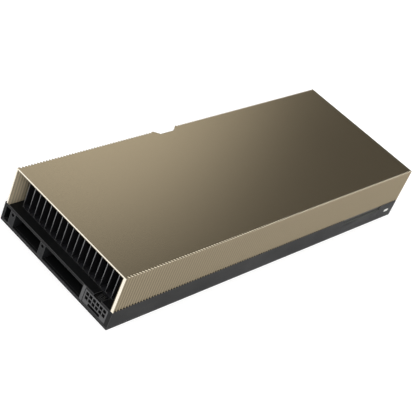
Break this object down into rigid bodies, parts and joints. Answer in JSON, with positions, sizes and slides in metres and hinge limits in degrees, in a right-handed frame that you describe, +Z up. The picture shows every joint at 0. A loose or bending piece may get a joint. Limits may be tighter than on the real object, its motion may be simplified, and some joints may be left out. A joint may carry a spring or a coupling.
{
  "type": "passive accelerator card",
  "caption": "Full-length passive accelerator card: ribbed gold shroud over a long fin stack, black windowed base frame, slot edge contacts and a rear power header.",
  "frame": {"origin": "middle of the card's length and of its width from link side to slot contact tips, on the underside plane of the backplate", "axes": "+X along the card towards the bracket end, +Y towards the slot contacts, +Z up from the backplate to the shroud's roof"},
  "size_m": [0.2676, 0.1112, 0.039],
  "materials": {
    "gold_shroud": "fine satin, champagne gold",
    "black_screw": "black oxide",
    "frame_black": "fine satin black",
    "plate_black": "satin black",
    "film": "thin black film",
    "spring_steel": "bare spring steel",
    "pad": "soft grey pad",
    "steel_screw": "bright steel",
    "board": "black solder mask",
    "contact_gold": "gold plate",
    "cover_black": "moulded, matt",
    "header_black": "moulded, matt",
    "pin_tin": "tinned",
    "heatsink_plate": "black finish",
    "fin_black": "black finish with bright cut edges",
    "substrate": "green laminate",
    "die": "polished silicon",
    "memory": "moulded",
    "ring_metal": "nickel plate",
    "paste": "grey paste",
    "choke_grey": "pressed powder",
    "chip_black": "moulded",
    "capacitor_black": "moulded"
  },
  "bodies": {
    "root": {"shroud": "gold_shroud", "shroud_screws": "black_screw", "base_frame": "frame_black", "rear_posts": "frame_black", "bracket_posts": "frame_black", "backplate": "plate_black", "backplate_screws": "black_screw", "insulating_film": "film", "leaf_spring": "spring_steel", "leaf_pad": "pad", "heatsink_screws": "steel_screw", "circuit_board": "board", "slot_contacts": "contact_gold", "link_contacts": "contact_gold", "link_cover": "cover_black", "power_header": "header_black", "power_pins": "pin_tin", "sense_pins": "pin_tin", "heatsink_base": "heatsink_plate", "fin_stack": "fin_black", "package_substrate": "substrate", "processor_die": "die", "memory_stacks": "memory", "stiffener_ring": "ring_metal", "thermal_paste": "paste", "chokes": "choke_grey", "choke_pads": "pad", "power_stages": "chip_black", "capacitors": "capacitor_black", "control_chips": "chip_black"}
  },
  "joints": []
}
